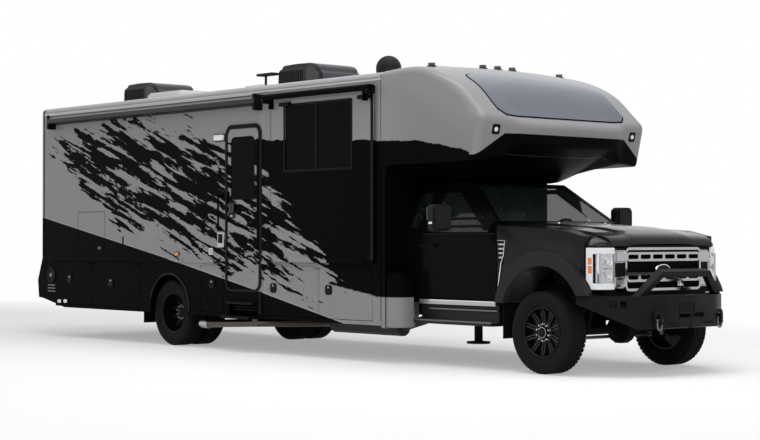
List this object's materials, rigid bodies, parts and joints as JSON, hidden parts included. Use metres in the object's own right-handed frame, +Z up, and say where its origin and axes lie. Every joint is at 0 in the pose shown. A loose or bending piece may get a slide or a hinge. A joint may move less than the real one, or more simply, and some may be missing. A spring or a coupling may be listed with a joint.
{
  "type": "motorhome",
  "caption": "Truck-based motorhome with an over-cab nose, side slide-out, entry door, luggage bays, awnings, roof units, steered front wheels and twin rear wheels.",
  "frame": {"origin": "on the ground under the middle of the bounding box", "axes": "+X to the front, +Y to the left side, +Z up; the vehicle stands on its tyres"},
  "size_m": [10.572, 3.19, 3.526],
  "materials": {
    "body_paint": "glossy dark grey paint with black graphics",
    "black_paint": "glossy black paint",
    "white_shell": "smooth white moulding",
    "tyre_rubber": "matte black rubber",
    "wheel_metal": "polished",
    "frame_steel": "satin black",
    "bare_steel": "plain",
    "exhaust_steel": "polished",
    "engine_iron": "rough",
    "dark_glass": "dark tinted",
    "clear_lamp": "clear lamp",
    "amber_lamp": "amber and red lamp lenses",
    "bright_metal": "bright",
    "trim_black": "satin black",
    "rubber_flap": "matte",
    "seat_leather": "dark",
    "floor_board": "plain board",
    "awning_cover": "satin"
  },
  "bodies": {
    "vehicle": {"front_axle": "frame_steel", "rear_axle": "frame_steel", "chassis_frame": "frame_steel", "hitch_receiver": "frame_steel", "engine_block": "engine_iron", "fuel_tank": "trim_black", "exhaust": "exhaust_steel", "coach_roof": "white_shell", "coach_walls": "body_paint", "skirts": "black_paint", "coach_floor": "floor_board", "rear_wall": "body_paint", "entry_steps": "trim_black", "coach_windows": "dark_glass", "marker_lamps": "amber_lamp", "nose_cap": "body_paint", "cab_shell": "body_paint", "windscreen": "dark_glass", "front_fenders": "body_paint", "grille": "bright_metal", "radiator": "trim_black", "headlamps": "clear_lamp", "front_bumper": "trim_black", "cab_seats": "seat_leather", "dashboard": "trim_black", "running_boards": "bare_steel", "mud_flaps": "rubber_flap", "patio_awning": "awning_cover", "roof_units": "white_shell"},
    "knuckle_right": {"knuckle_right": "bare_steel"},
    "front_wheel_right": {"front_tyre_right": "tyre_rubber", "front_rim_right": "wheel_metal"},
    "rear_wheels_right": {"rear_tyres_right": "tyre_rubber", "rear_rims_right": "wheel_metal"},
    "cab_door_right": {"cab_door_right": "body_paint", "cab_door_glass_right": "dark_glass"},
    "knuckle_left": {"knuckle_left": "bare_steel"},
    "front_wheel_left": {"front_tyre_left": "tyre_rubber", "front_rim_left": "wheel_metal"},
    "rear_wheels_left": {"rear_tyres_left": "tyre_rubber", "rear_rims_left": "wheel_metal"},
    "cab_door_left": {"cab_door_left": "body_paint", "cab_door_glass_left": "dark_glass"},
    "tie_rod": {"tie_rod": "bare_steel"},
    "hood": {"hood": "body_paint"},
    "entry_door": {"entry_door": "body_paint", "entry_door_glass": "dark_glass"},
    "slide_room": {"slide_room": "black_paint", "slide_room_glass": "dark_glass"},
    "bay_door_right_1": {"bay_door_right_1": "black_paint"},
    "bay_door_right_2": {"bay_door_right_2": "black_paint"},
    "bay_door_right_3": {"bay_door_right_3": "black_paint"},
    "bay_door_right_4": {"bay_door_right_4": "black_paint"},
    "bay_door_right_5": {"bay_door_right_5": "black_paint"},
    "bay_door_left_1": {"bay_door_left_1": "black_paint"},
    "bay_door_left_2": {"bay_door_left_2": "black_paint"}
  },
  "joints": [
    {"name": "steer_right", "type": "hinge", "parent": "vehicle", "child": "knuckle_right", "pos_m": [4.22498, -0.8, 0.4175], "axis": [0, 0, 1], "range_deg": [-32, 32]},
    {"name": "steer_left", "type": "hinge", "parent": "vehicle", "child": "knuckle_left", "pos_m": [4.22498, 0.8, 0.4175], "axis": [0, 0, 1], "range_deg": [-32, 32]},
    {"name": "front_wheel_right_spin", "type": "hinge", "parent": "knuckle_right", "child": "front_wheel_right", "pos_m": [4.22498, -0.95, 0.4175], "axis": [0, 1, 0], "continuous": true},
    {"name": "rear_wheels_right_spin", "type": "hinge", "parent": "vehicle", "child": "rear_wheels_right", "pos_m": [-2.05002, -0.93, 0.4175], "axis": [0, 1, 0], "continuous": true},
    {"name": "front_wheel_left_spin", "type": "hinge", "parent": "knuckle_left", "child": "front_wheel_left", "pos_m": [4.22498, 0.95, 0.4175], "axis": [0, 1, 0], "continuous": true},
    {"name": "rear_wheels_left_spin", "type": "hinge", "parent": "vehicle", "child": "rear_wheels_left", "pos_m": [-2.05002, 0.93, 0.4175], "axis": [0, 1, 0], "continuous": true},
    {"name": "tie_rod_slide", "type": "slide", "parent": "vehicle", "child": "tie_rod", "axis": [0, -1, 0], "range_m": [-0.084, 0.084]},
    {"name": "hood_hinge", "type": "hinge", "parent": "vehicle", "child": "hood", "pos_m": [3.59098, 0, 1.536], "axis": [0, -1, 0], "range_deg": [0, 45]},
    {"name": "cab_door_right_hinge", "type": "hinge", "parent": "vehicle", "child": "cab_door_right", "pos_m": [3.54498, -1, 1.1], "axis": [0, 0, 1], "range_deg": [0, 65]},
    {"name": "cab_door_left_hinge", "type": "hinge", "parent": "vehicle", "child": "cab_door_left", "pos_m": [3.54498, 1, 1.1], "axis": [0, 0, -1], "range_deg": [0, 65]},
    {"name": "entry_door_hinge", "type": "hinge", "parent": "vehicle", "child": "entry_door", "pos_m": [-0.13702, -1.2893, 1.8], "axis": [0, 0, 1], "range_deg": [0, 90]},
    {"name": "slide_room_travel", "type": "slide", "parent": "vehicle", "child": "slide_room", "axis": [0, -1, 0], "range_m": [0, 0.6]},
    {"name": "bay_door_right_1_hinge", "type": "hinge", "parent": "vehicle", "child": "bay_door_right_1", "pos_m": [-4.34502, -1.2813, 1.03], "axis": [-1, 0, 0], "range_deg": [0, 90]},
    {"name": "bay_door_right_2_hinge", "type": "hinge", "parent": "vehicle", "child": "bay_door_right_2", "pos_m": [-3.24002, -1.2813, 1.03], "axis": [-1, 0, 0], "range_deg": [0, 90]},
    {"name": "bay_door_right_3_hinge", "type": "hinge", "parent": "vehicle", "child": "bay_door_right_3", "pos_m": [-1.09002, -1.2813, 1.03], "axis": [-1, 0, 0], "range_deg": [0, 90]},
    {"name": "bay_door_right_4_hinge", "type": "hinge", "parent": "vehicle", "child": "bay_door_right_4", "pos_m": [0.45798, -1.2813, 1.03], "axis": [-1, 0, 0], "range_deg": [0, 90]},
    {"name": "bay_door_right_5_hinge", "type": "hinge", "parent": "vehicle", "child": "bay_door_right_5", "pos_m": [1.44998, -1.2813, 1.03], "axis": [-1, 0, 0], "range_deg": [0, 90]},
    {"name": "bay_door_left_1_hinge", "type": "hinge", "parent": "vehicle", "child": "bay_door_left_1", "pos_m": [-4.25502, 1.2813, 1.03], "axis": [1, 0, 0], "range_deg": [0, 90]},
    {"name": "bay_door_left_2_hinge", "type": "hinge", "parent": "vehicle", "child": "bay_door_left_2", "pos_m": [0.92898, 1.2813, 1.03], "axis": [1, 0, 0], "range_deg": [0, 90]}
  ],
  "couplings": [
    {"joint": "steer_left", "follows": "steer_right", "ratio": 1},
    {"joint": "tie_rod_slide", "follows": "steer_right", "m_per_rad": 0.15}
  ]
}
